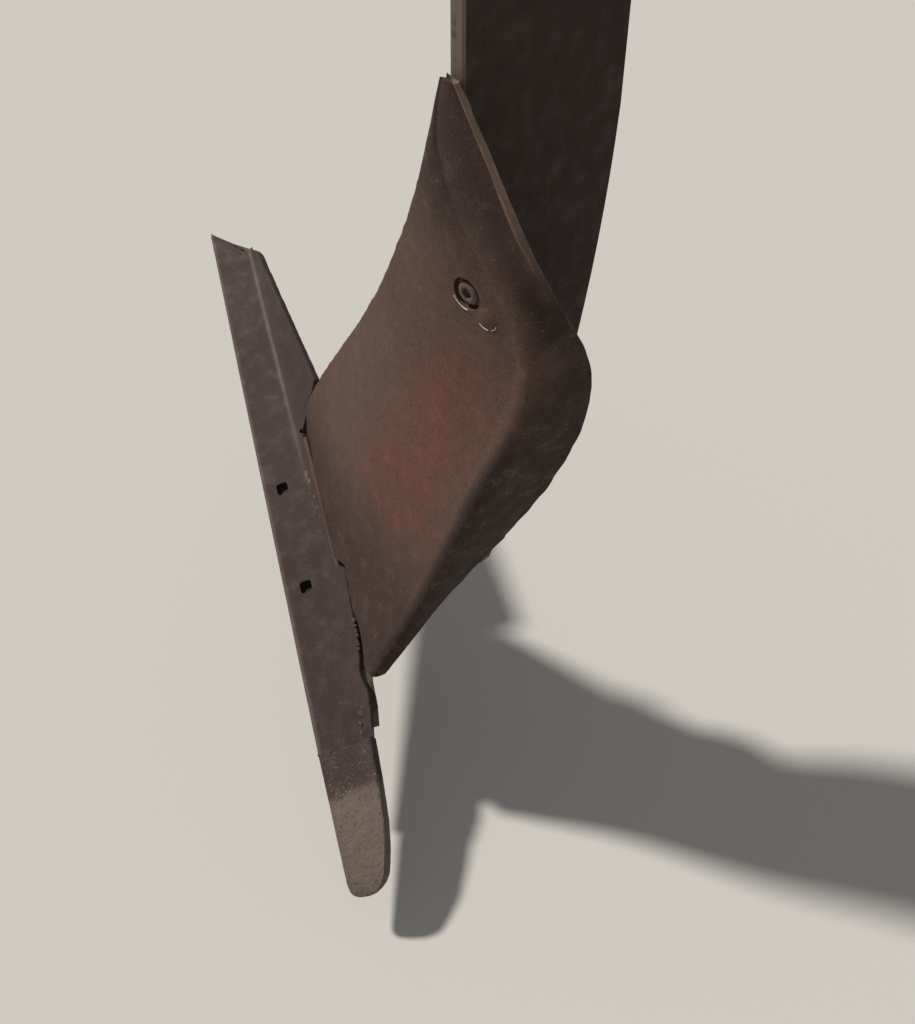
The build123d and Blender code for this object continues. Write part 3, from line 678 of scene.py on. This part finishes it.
# Finishes
class Signal:
    """A shader socket whose arithmetic adds Math nodes to its tree."""

    def __init__(self, tree, socket):
        self.tree, self.socket = tree, socket

    def math(self, operation, a, b):
        return self.tree.node("ShaderNodeMath", {"operation": operation}, {0: a, 1: b})

    def inside(self):
        """Limited to the range from 0 to 1."""
        return self.tree.node("ShaderNodeClamp", {}, {"Value": self})

    def __add__(self, other):
        return self.math("ADD", self, other)

    def __sub__(self, other):
        return self.math("SUBTRACT", self, other)

    def __rsub__(self, other):
        return self.math("SUBTRACT", other, self)

    def __mul__(self, other):
        return self.math("MULTIPLY", self, other)

    __radd__, __rmul__ = __add__, __mul__


class Tree:
    """The nodes of a material or a world, emptied; node() adds any node and gives one of its outputs."""

    def __init__(self, owner):
        owner.use_nodes = True
        self.owner, self.tree = owner, owner.node_tree
        self.tree.nodes.clear()

    def node(self, kind, settings, values, output=0):
        made = self.tree.nodes.new(kind)
        for key, value in settings.items():
            setattr(made, key, value)
        for key, value in values.items():
            if isinstance(value, Signal):
                self.tree.links.new(value.socket, made.inputs[key])
            else:
                made.inputs[key].default_value = value
        return Signal(self, made.outputs[output]) if made.outputs else None


class Finish(Tree):
    """A material being made, with short names for the nodes that its recipes use."""

    def __init__(self, name):
        super().__init__(bpy.data.materials.new(name))
        self.place = self.node("ShaderNodeTexCoord", {}, {}, "Object")

    def noise(self, per_metre, detail=3.0, roughness=0.55):
        return self.node("ShaderNodeTexNoise", {}, {
            "Vector": self.place, "Scale": per_metre, "Detail": detail, "Roughness": roughness})

    def cells(self, per_metre):
        """Distance to the nearest of many scattered spots."""
        return self.node("ShaderNodeTexVoronoi", {"feature": "F1"}, {
            "Vector": self.place, "Scale": per_metre})

    def step(self, value, low, high):
        """0 below low, 1 above high and smooth between."""
        return self.node("ShaderNodeMapRange", {"interpolation_type": "SMOOTHSTEP"}, {
            "Value": value, "From Min": low, "From Max": high, "To Min": 0.0, "To Max": 1.0})

    def mix(self, share, a, b):
        return self.node("ShaderNodeMix", {"data_type": "RGBA"}, {0: share, 6: a, 7: b}, 2)

    def part(self, axis):
        """One coordinate of the place, in metres."""
        return self.node("ShaderNodeSeparateXYZ", {}, {"Vector": self.place}, "XYZ".index(axis))

    def mask(self, name):
        """A mask painted on the mesh, 0 where the mesh has none."""
        return self.node("ShaderNodeAttribute", {"attribute_name": name}, {}, "Fac")

    def close(self, tone, roughness, metallic, height, depth):
        """Surface of a tone, with a bump of a depth in metres; gives the material."""
        bump = self.node("ShaderNodeBump", {}, {"Height": height, "Distance": depth, "Strength": 1.0})
        surface = self.node("ShaderNodeBsdfPrincipled", {}, {
            "Base Color": tone, "Roughness": roughness, "Metallic": metallic, "Normal": bump,
            "Specular IOR Level": 0.4})
        self.node("ShaderNodeOutputMaterial", {}, {"Surface": surface})
        return self.owner


def colour(red, green, blue):
    """Linear colour from the values that a display shows."""
    shown = [v / 255 for v in (red, green, blue)]
    return tuple(v / 12.92 if v <= 0.04045 else ((v + 0.055) / 1.055) ** 2.4 for v in shown) + (1.0,)


# Rust: sizes of its noise and spots, as how many fit in a metre
BROAD, DRIFT, MIDDLE, FINE, GRAIN = 9.0, 40.0, 60.0, 330.0, 700.0
PITS, SPECKS = 95.0, 210.0
# Leg's nose: limits in metres of the bevel, of the pale strip and of the flat in front
BEVEL_FROM, PALE_FROM, FLAT_FROM = (0.0785, 0.0795), (0.0035, 0.0055), (0.0895, 0.0905)
NOSE_PAINT, NOSE_STEEL_HIGHLIGHT = colour(112, 116, 100), colour(128, 106, 98)


def nose_paint_and_highlight(f, tone):
    """Grey green paint left on the bevel of the leg's nose, and a pale pinkish tone on the flat beside it:
    bare steel, and partly a painted highlight of the lit nose.
    """
    forward, landward, patchy = f.part("X"), f.part("Y"), f.noise(45.0)
    nose = f.step(forward, *BEVEL_FROM)
    pale_side = f.step(landward, *PALE_FROM)
    # Pale pinkish flat: bare steel and a painted highlight
    tone = f.mix(f.step(forward, *FLAT_FROM) * pale_side * 0.85, tone, NOSE_STEEL_HIGHLIGHT)
    return f.mix(nose * (1 - pale_side) * f.step(patchy, 0.3, 0.45) * 0.9, tone, NOSE_PAINT)


def rusted(name, main, second, dark, pale, orange, rust, pit, pits,
           mottle=0.4, grit=0.45, joined=None, finish=None):
    """Weathered steel: two broad tones, rust patches, grain, dark pits, pale specks and painted masks, which
    carry painted shade and painted highlights as well as real tones and wear. The tones are display values;
    pit is the bump's depth in metres, and the other numbers are strengths."""
    f = Finish(name)
    main, second, dark, pale, orange = (colour(*shown) for shown in (main, second, dark, pale, orange))
    broad, middle = f.noise(BROAD, 4.0, 0.6), f.noise(MIDDLE, 4.0, 0.6)
    fine, grain = f.noise(FINE, 3.0, 0.65), f.noise(GRAIN, 2.0, 0.6)
    drift = f.noise(DRIFT, 2.0, 0.5)
    tone = f.mix(f.step(broad * 0.7 + middle * 0.3, 0.42, 0.6), main, second)
    patch = f.step(middle * 0.5 + fine * 0.3 + f.mask("orange") * 0.4, 0.56 - 0.1 * rust, 0.84 - 0.1 * rust)
    tone = f.mix(patch * (0.35 + rust), tone, orange)
    # Painted shade and darker tones from the mask go to the dark tone
    tone = f.mix(f.mask("painted_shade_and_darker"), tone, dark)
    if joined:
        tone = f.mix(f.mask("joined"), tone, colour(*joined))
    tone = f.mix(f.step(fine * 0.6 + grain * 0.4, 0.5, 0.62) * grit, tone, dark)
    tone = f.mix(f.step(fine * 0.3 + grain * 0.4 + middle * 0.3, 0.53, 0.66) * mottle, tone, pale)
    hole = f.step(drift * 0.35 - f.cells(PITS), -0.02, 0.05) * pits
    tone = f.mix(hole, tone, dark)
    tone = f.mix(f.step(drift * 0.16 - f.cells(SPECKS), -0.015, 0.02) * 0.7, tone, pale)
    # Painted highlights and real wear from the worn mask go to the pale tone and to a lower roughness
    tone = f.mix((f.mask("worn") * (0.7 + middle * 0.6)).inside(), tone, pale)
    if finish:
        tone = finish(f, tone)
    height = fine * 0.5 + grain * 0.22 + middle * 1.1 - hole * 0.8
    roughness = 0.9 - f.step(middle, 0.4, 0.7) * 0.18 - f.mask("worn") * 0.2
    return f.close(tone, roughness, 0.1, height, pit)


def highlight_metal():
    """Pale metal for painted highlights on lit rims, with fine scratches."""
    f = Finish("rim_highlight")
    scratch = f.noise(900.0, 2.0, 0.5)
    tone = f.mix(f.step(scratch, 0.4, 0.65), colour(236, 226, 208), colour(186, 172, 154))
    return f.close(tone, 0.45 + scratch * 0.2, 0.2, scratch, 0.0001)


board_steel = rusted(
    "board_rust", (95, 72, 62), (90, 66, 54), (49, 35, 32), (138, 111, 96), (112, 65, 46),
    rust=0.35, pit=0.0008, pits=0.15, grit=0.62, mottle=0.5)
share_steel = rusted(
    "share_rust", (82, 69, 66), (77, 62, 56), (57, 43, 41), (128, 112, 106), (112, 72, 50),
    rust=0.0, pit=0.0004, pits=0.15, mottle=0.2)
point_steel = rusted(
    "point_rust", (112, 98, 88), (104, 90, 79), (78, 65, 57), (148, 134, 122), (122, 95, 72),
    rust=0.1, pit=0.002, pits=0.3, grit=0.85, mottle=0.6, joined=(67, 53, 50))
leg_steel = rusted(
    "leg_rust", (55, 41, 35), (50, 38, 33), (39, 30, 27), (69, 56, 50), (70, 48, 37),
    rust=0.1, pit=0.0004, pits=0.4, finish=nose_paint_and_highlight)
frog_steel = rusted(
    "frog_rust", (88, 84, 66), (80, 70, 58), (60, 52, 45), (112, 106, 90), (112, 78, 52),
    rust=0.2, pit=0.0007, pits=0.5)
stay_steel = rusted(
    "stay_rust", (92, 74, 64), (80, 66, 56), (58, 47, 42), (118, 102, 92), (122, 80, 54),
    rust=0.35, pit=0.0006, pits=0.6)
bolt_steel = rusted(
    "bolt_rust", (104, 90, 84), (96, 80, 72), (62, 52, 48), (140, 126, 118), (116, 82, 62),
    rust=0.1, pit=0.0003, pits=0.3)
# Dark brown material for the plugs that stand for the shade seen through the square holes
hole_shade = rusted(
    "hole_shade", (50, 40, 35), (44, 36, 32), (34, 28, 25), (72, 62, 54), (56, 44, 36),
    rust=0.0, pit=0.0008, pits=0.2)
rim_highlight = highlight_metal()

# Board, with the wide hole of its upper bolt
board = mesh_piece("board", make_board(), board_steel, ["mouldboard"])
upper_at, upper_axis = place_on_board(*UPPER_BOLT)
lower_at, lower_axis = place_on_board(*LOWER_BOLT)
hole, flare = RECESS / 2, RECESS / 2 + 1.2
cut(board, turned(upper_at, upper_axis, [(hole, -20), (hole, -5), (hole, -0.6), (flare, 1.5), (flare, 12)]))

# Share with its square holes, and the point
share = mesh_piece("share_blade", make_share(), share_steel, ["share"])
for hole_along in HOLES_ALONG:
    cut(share, square_plug(hole_along))
point = mesh_piece("point", make_point(), point_steel, ["share_point"])

# A drilled hole in the flange, and dark plugs as painted shade in the square holes
DRILLED_AT, DRILL_SEGMENTS = (507, 11), 24
DRILL = [(2.7, -6.5), (2.7, -0.5), (3.4, 0.4), (3.4, 6)]
cut(share, turned(on_flange(*DRILLED_AT), -FLANGE_IN, DRILL, DRILL_SEGMENTS))
plugs = [hole_shade_plug(hole_along, seed) for seed, hole_along in enumerate(HOLES_ALONG, 91)]
mesh_piece("hole_shade_plugs", together(plugs), hole_shade)

# Frog and bracket
frog = together([make_backing(), make_web(), make_seat()])
mesh_piece("frog_casting", frog, frog_steel, ["frog"])
mesh_piece("bolt_bracket", make_bracket(), stay_steel, ["board_bracket"])

# Crumbs on the torn edge, then spatter by the seam and on the ridge: along, across, radii and seed
TEAR_CRUMBS = [
    (267, (3.4, 2.0, 2.2), 101), (261, (2.2, 2.6, 2.0), 102), (256, (3.0, 1.8, 1.8), 103),
    (250, (2.4, 2.4, 2.2), 104), (243, (3.6, 1.6, 1.8), 105), (236, (2.0, 2.0, 1.6), 106)]
SEAM_SPATTER = [
    (170, 60, (5, 4, 2.6), 51), (160, 57, (3.4, 3, 2.2), 52), (176, 64, (4, 3.4, 2.4), 53),
    (150, 55, (2.6, 2.4, 1.6), 54), (188, 40, (2.0, 1.6, 1.2), 56), (120, 36, (1.8, 1.6, 1.0), 57)]
RIDGE_SPATTER = [
    (452, 3, (7, 3.4, 1.6), 61), (444, 5, (4, 3, 1.4), 62), (436, 4, (2.4, 2, 1.2), 63),
    (424, 6, (2, 1.4, 1), 64), (410, 7, (2, 1.4, 1), 65), (398, 8, (1.8, 1.2, 1), 66)]
crumbs = [(along, flange_height(along) + 0.4, radii, seed) for along, radii, seed in TEAR_CRUMBS]
mesh_piece("tear_crumbs", together(lumps(crumbs, on_flange, 0.8, ON_FLANGE, 0.4)), board_steel)

# Weld along the closed part of the joint, and the seam between share and point, which weaves a little.
# Beads have a radius, a seed and a flatness.
JOINT_BEAD, SEAM_BEAD = (3.0, 43, 0.6), (2.2, 41, 0.35)
JOINT_SUNK, SEAM_SUNK, SEAM_WEAVE, SEAM_WIDTH = 1.6, 0.6, 1.5, 62.0
closed = np.linspace(TEAR_END + 4, CROTCH - CROTCH_STEP - 6, 60)
joint = bead(on_flange(closed, JOINT_HEIGHT + 0.4, JOINT_SUNK), *JOINT_BEAD, -FLANGE_IN)
mesh_piece("joint_weld", joint, board_steel)
t = np.linspace(0, 1, 30)
weave = POINT_LENGTH + 1.0 + SEAM_WEAVE * np.sin(t * 9)
seam = bead(on_face(weave, 1 + SEAM_WIDTH * t, SEAM_SUNK), *SEAM_BEAD, -FACE_IN)
spatter = together([seam] + lumps(SEAM_SPATTER, on_face, 0.4, ON_FACE))
mesh_piece("seam_weld", spatter, share_steel)
marks = together(lumps(RIDGE_SPATTER, on_flange, 0.2, ON_FLANGE))
mesh_piece("ridge_spatter", marks, point_steel)

# Bolts as radius and height above the board: the upper one's head ends in a hexagon socket from row 7 on
half_head, shank = BOLT_HEAD / 2, BOLT_SHANK / 2
HEAD = [
    (3.5, -6.5), (half_head - 2, -6.5), (half_head, -5.5), (half_head, -2.2), (half_head - 1.4, -1.0),
    (half_head - 3.2, -0.5), (6.4, -0.5), (5.6, -0.9), (5.2, -4.8), (1.0, -5.0)]
SOCKET_FROM = 7
WASHER = [
    (shank + 0.4, -8.2), (hole - 0.6, -8.2), (hole - 0.3, -7.2), (hole - 1.0, -6.2), (shank + 0.4, -6.0)]
FLUSH_BOLT = [
    (1.0, 0.35), (half_head - 1.2, 0.3), (half_head, -0.5), (half_head, -5.0), (shank, -5.2),
    (shank, -GRIP), (1.0, -GRIP)]
upper_bolt = together([
    turned(upper_at, upper_axis, HEAD, corners=6, corner_from=SOCKET_FROM),
    turned(upper_at, upper_axis, [(shank, -GRIP), (shank, -5.6)], 32),
    turned(upper_at, upper_axis, WASHER)])
mesh_piece("upper_bolt", upper_bolt, bolt_steel, ["board_bolt_upper"])
lower_bolt = turned(lower_at, lower_axis, FLUSH_BOLT)
mesh_piece("lower_bolt", lower_bolt, board_steel, ["board_bolt_lower"])


def crescent(centre, axis, lift, radius, middle, spread, thick, seed):
    """Painted highlight on the lit rim of a hole: a thin bright bead on a circle about the axis, on both sides
    of a middle angle in degrees, over a spread in radians."""
    side = direction(*np.cross(axis, [0, 0, 1.0]))
    up = np.cross(side, axis)
    angle = np.linspace(math.radians(middle) - spread, math.radians(middle) + spread, 24)[:, None]
    path = centre + axis * lift + radius * (side * np.cos(angle) + up * np.sin(angle))
    return bead(path, thick, seed, 0.6, axis)


# Painted highlights: bright crescents on the lit lower rim of the upper bolt's hole and on the lower bolt's
# head
rims = together([
    crescent(upper_at, upper_axis, 0.3, hole + 0.3, -62, 0.62, 0.6, 71),
    crescent(lower_at, lower_axis, 0.2, half_head + 0.4, -72, 0.5, 0.5, 72),
    crescent(lower_at, lower_axis, 0.1, half_head + 0.4, -140, 0.45, 0.25, 73)])
mesh_piece("rim_highlights", rims, rim_highlight)

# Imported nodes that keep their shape
for node, finish in {
        "leg": leg_steel, "board_stay": stay_steel, "share_stay": stay_steel, "foot_bolts": bolt_steel,
        "board_nut_upper": bolt_steel, "board_nut_lower": bolt_steel}.items():
    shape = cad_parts[node]
    shape.data.materials.clear()
    shape.data.materials.append(finish)


# Painted masks
def paint(piece, name, values):
    """Values from 0 to 1 as an attribute of the piece's points."""
    attribute = piece.data.attributes.new(name, "FLOAT", "POINT")
    attribute.data.foreach_set("value", np.asarray(values, np.float32))


def vertices_of(piece):
    """Places of the piece's points in millimetres."""
    places = np.zeros(len(piece.data.vertices) * 3)
    piece.data.vertices.foreach_get("co", places)
    return places.reshape(-1, 3) * 1000


# Board's tones, with painted shade and a painted highlight among them: spans of height above the foot between
# which each one comes or goes
SHADED_TOP, DARKER_FOOT = (560.0, 660.0), (180.0, 300.0)
GLOW_FOOT, GLOW_TOP, GLOW_ACROSS, GLOW_WIDTH = (200.0, 300.0), (470.0, 570.0), 0.66, 0.4
HIGHLIGHT_EDGE, EDGE_BAND = (585.0, 680.0), (-2.0, -0.4)
STRIP_SOFT, STRIP_LOW, STRIP_MIDDLE = 8.4, (360.0, 470.0), (430.0, 540.0)
# Share's and point's tones, with a painted highlight on the ridge and painted shade on the flange: spans along
# the share and of height above the ridge
RIDGE_HIGHLIGHT, EDGE_WORN = (380.0, 620.0), (1.0, 5.0)
FLANGE_SHADE_HEIGHT, FLANGE_SHADE_ALONG, DULL_FALL = (2.0, 20.0), (420.0, 560.0), 900.0
STAIN_AT, STAIN_SPREAD, STAIN_HEIGHT = 200.0, 42.0, (-12.0, 4.0)
JOINED, JOINED_ROUGH = (88.0, 104.0), [(7.0, 16.0, 81), (3.0, 5.0, 82)]


def paint_board():
    """Painted shade on the top and on the land strip beyond the bend, darker towards the foot, orange middle,
    and a pale land edge near the top as a painted highlight.
    """
    place = vertices_of(board) - FOOT
    y, height = place[:, 1], place[:, 2]
    furrow_y, bend_y, land_y = (np.interp(height, BOARD_LEVELS[:, 0], BOARD_LEVELS[:, i]) for i in (2, 4, 6))
    # Painted shade: the top of the plate and the land strip beyond the bend are darkened; the plate also gets
    # darker towards the foot
    top = ramp(height, *SHADED_TOP)
    shift = 16 * (1 - ramp(height, *STRIP_LOW)) - 8 * ramp(height, *STRIP_MIDDLE)
    strip = ramp(y - bend_y + shift, -STRIP_SOFT, STRIP_SOFT) * (1 - top)
    low = 1 - ramp(height, *DARKER_FOOT)
    paint(board, "painted_shade_and_darker", np.maximum(strip * 0.9, np.maximum(top * 0.75, low * 0.75)))
    over = (y - furrow_y) / (bend_y - furrow_y)
    glow = np.clip(1.3 - np.abs(over - GLOW_ACROSS) / GLOW_WIDTH, 0, 1)
    glow *= (1 - ramp(height, *GLOW_TOP)) * ramp(height, *GLOW_FOOT)
    paint(board, "orange", glow * 0.8)
    # Painted highlight: a pale band on the lit land edge near the top, carried by the worn mask
    paint(board, "worn", ramp(y - land_y, *EDGE_BAND) * ramp(height, *HIGHLIGHT_EDGE))


def paint_share():
    """Painted highlight along the ridge and a pale worn cutting edge, a tone that darkens towards the point
    with painted shade on the upper flange, and orange stain by the tear.
    """
    place = vertices_of(share)
    along, height = joint_places(place)
    across = (place - EDGE_START) @ FACE_ACROSS
    # Painted highlight on the ridge, and real wear on the cutting edge, both in the worn mask
    ridge = hump(height, 1.0, 2.0) * ramp(along, *RIDGE_HIGHLIGHT)
    edge = 1 - ramp(across - edge_across(along), *EDGE_WORN)
    paint(share, "worn", np.clip(ridge * 0.55 + edge * 0.35, 0, 1))
    # Painted shade on the upper flange, added to a tone that darkens towards the point
    flange = ramp(height, *FLANGE_SHADE_HEIGHT) * ramp(along, *FLANGE_SHADE_ALONG)
    paint(share, "painted_shade_and_darker", np.clip(1.0 - along / DULL_FALL + flange * 0.35, 0, 0.9))
    stain = hump(along, STAIN_AT, STAIN_SPREAD) * ramp(height, *STAIN_HEIGHT)
    paint(share, "orange", np.clip(stain * 1.4, 0, 1))


def paint_point():
    """The part next to the seam keeps the share's tone, with a ragged limit."""
    place = vertices_of(point)
    along = (place - EDGE_START) @ ALONG + rough(place, JOINED_ROUGH)
    paint(point, "joined", ramp(along, *JOINED))


paint_board()
paint_share()
paint_point()

# Floor below the hanging body, in metres
FLOOR_DROP, FLOOR_SIZE = 0.05, 16.0
bpy.ops.mesh.primitive_plane_add(size=FLOOR_SIZE, location=(0, 0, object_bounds()[0].z - FLOOR_DROP))
floor = bpy.context.object
floor.name = "floor"
ground = Finish("floor")
floor.data.materials.append(ground.close(colour(205, 201, 194), 0.9, 0.0, ground.noise(3.0), 0.0))

# World: a dim fill, and a pale tone where the camera sees past the floor
FILL_COLOUR, FILL_STRENGTH = (0.95, 0.97, 1.0, 1.0), 0.25
world = bpy.data.worlds.new("studio")
bpy.context.scene.world = world
studio = Tree(world)
seen = studio.node("ShaderNodeLightPath", {}, {}, "Is Camera Ray")
fill = studio.node("ShaderNodeBackground", {}, {"Color": FILL_COLOUR, "Strength": FILL_STRENGTH})
backdrop = studio.node("ShaderNodeBackground", {}, {"Color": colour(225, 224, 222)})
switch = studio.node("ShaderNodeMixShader", {}, {0: seen, 1: fill, 2: backdrop})
studio.node("ShaderNodeOutputWorld", {}, {"Surface": switch})

# Key light, as the direction towards it
KEY_FROM, KEY_STRENGTH, KEY_SPREAD = (0.25, -0.58, 0.775), 3.2, 5.0
lamp = bpy.data.lights.new("key", "SUN")
lamp.energy, lamp.angle = KEY_STRENGTH, math.radians(KEY_SPREAD)
lamp.color = (1.0, 0.97, 0.93)
key = bpy.data.objects.new("key", lamp)
key.rotation_mode = "QUATERNION"
key.rotation_quaternion = Vector(KEY_FROM).normalized().to_track_quat("Z", "Y")
bpy.context.scene.collection.objects.link(key)

# Camera at the photograph's angle, with its place in metres and its lens in millimetres
CAMERA_AT, CAMERA_TOWARDS, LENS = (0.6656, 0.5799, 0.1308), (-0.5, -0.5, -0.7071), 42.19
camera_data = bpy.data.cameras.new("camera")
camera_data.lens, camera_data.sensor_width = LENS, 36.0
camera_data.clip_start, camera_data.clip_end = 0.05, 100.0
camera = bpy.data.objects.new("camera", camera_data)
camera.location = CAMERA_AT
camera.rotation_mode = "QUATERNION"
camera.rotation_quaternion = Vector(CAMERA_TOWARDS).to_track_quat("-Z", "Y")
bpy.context.scene.collection.objects.link(camera)
bpy.context.scene.camera = camera
bpy.context.scene.view_settings.view_transform = "Standard"
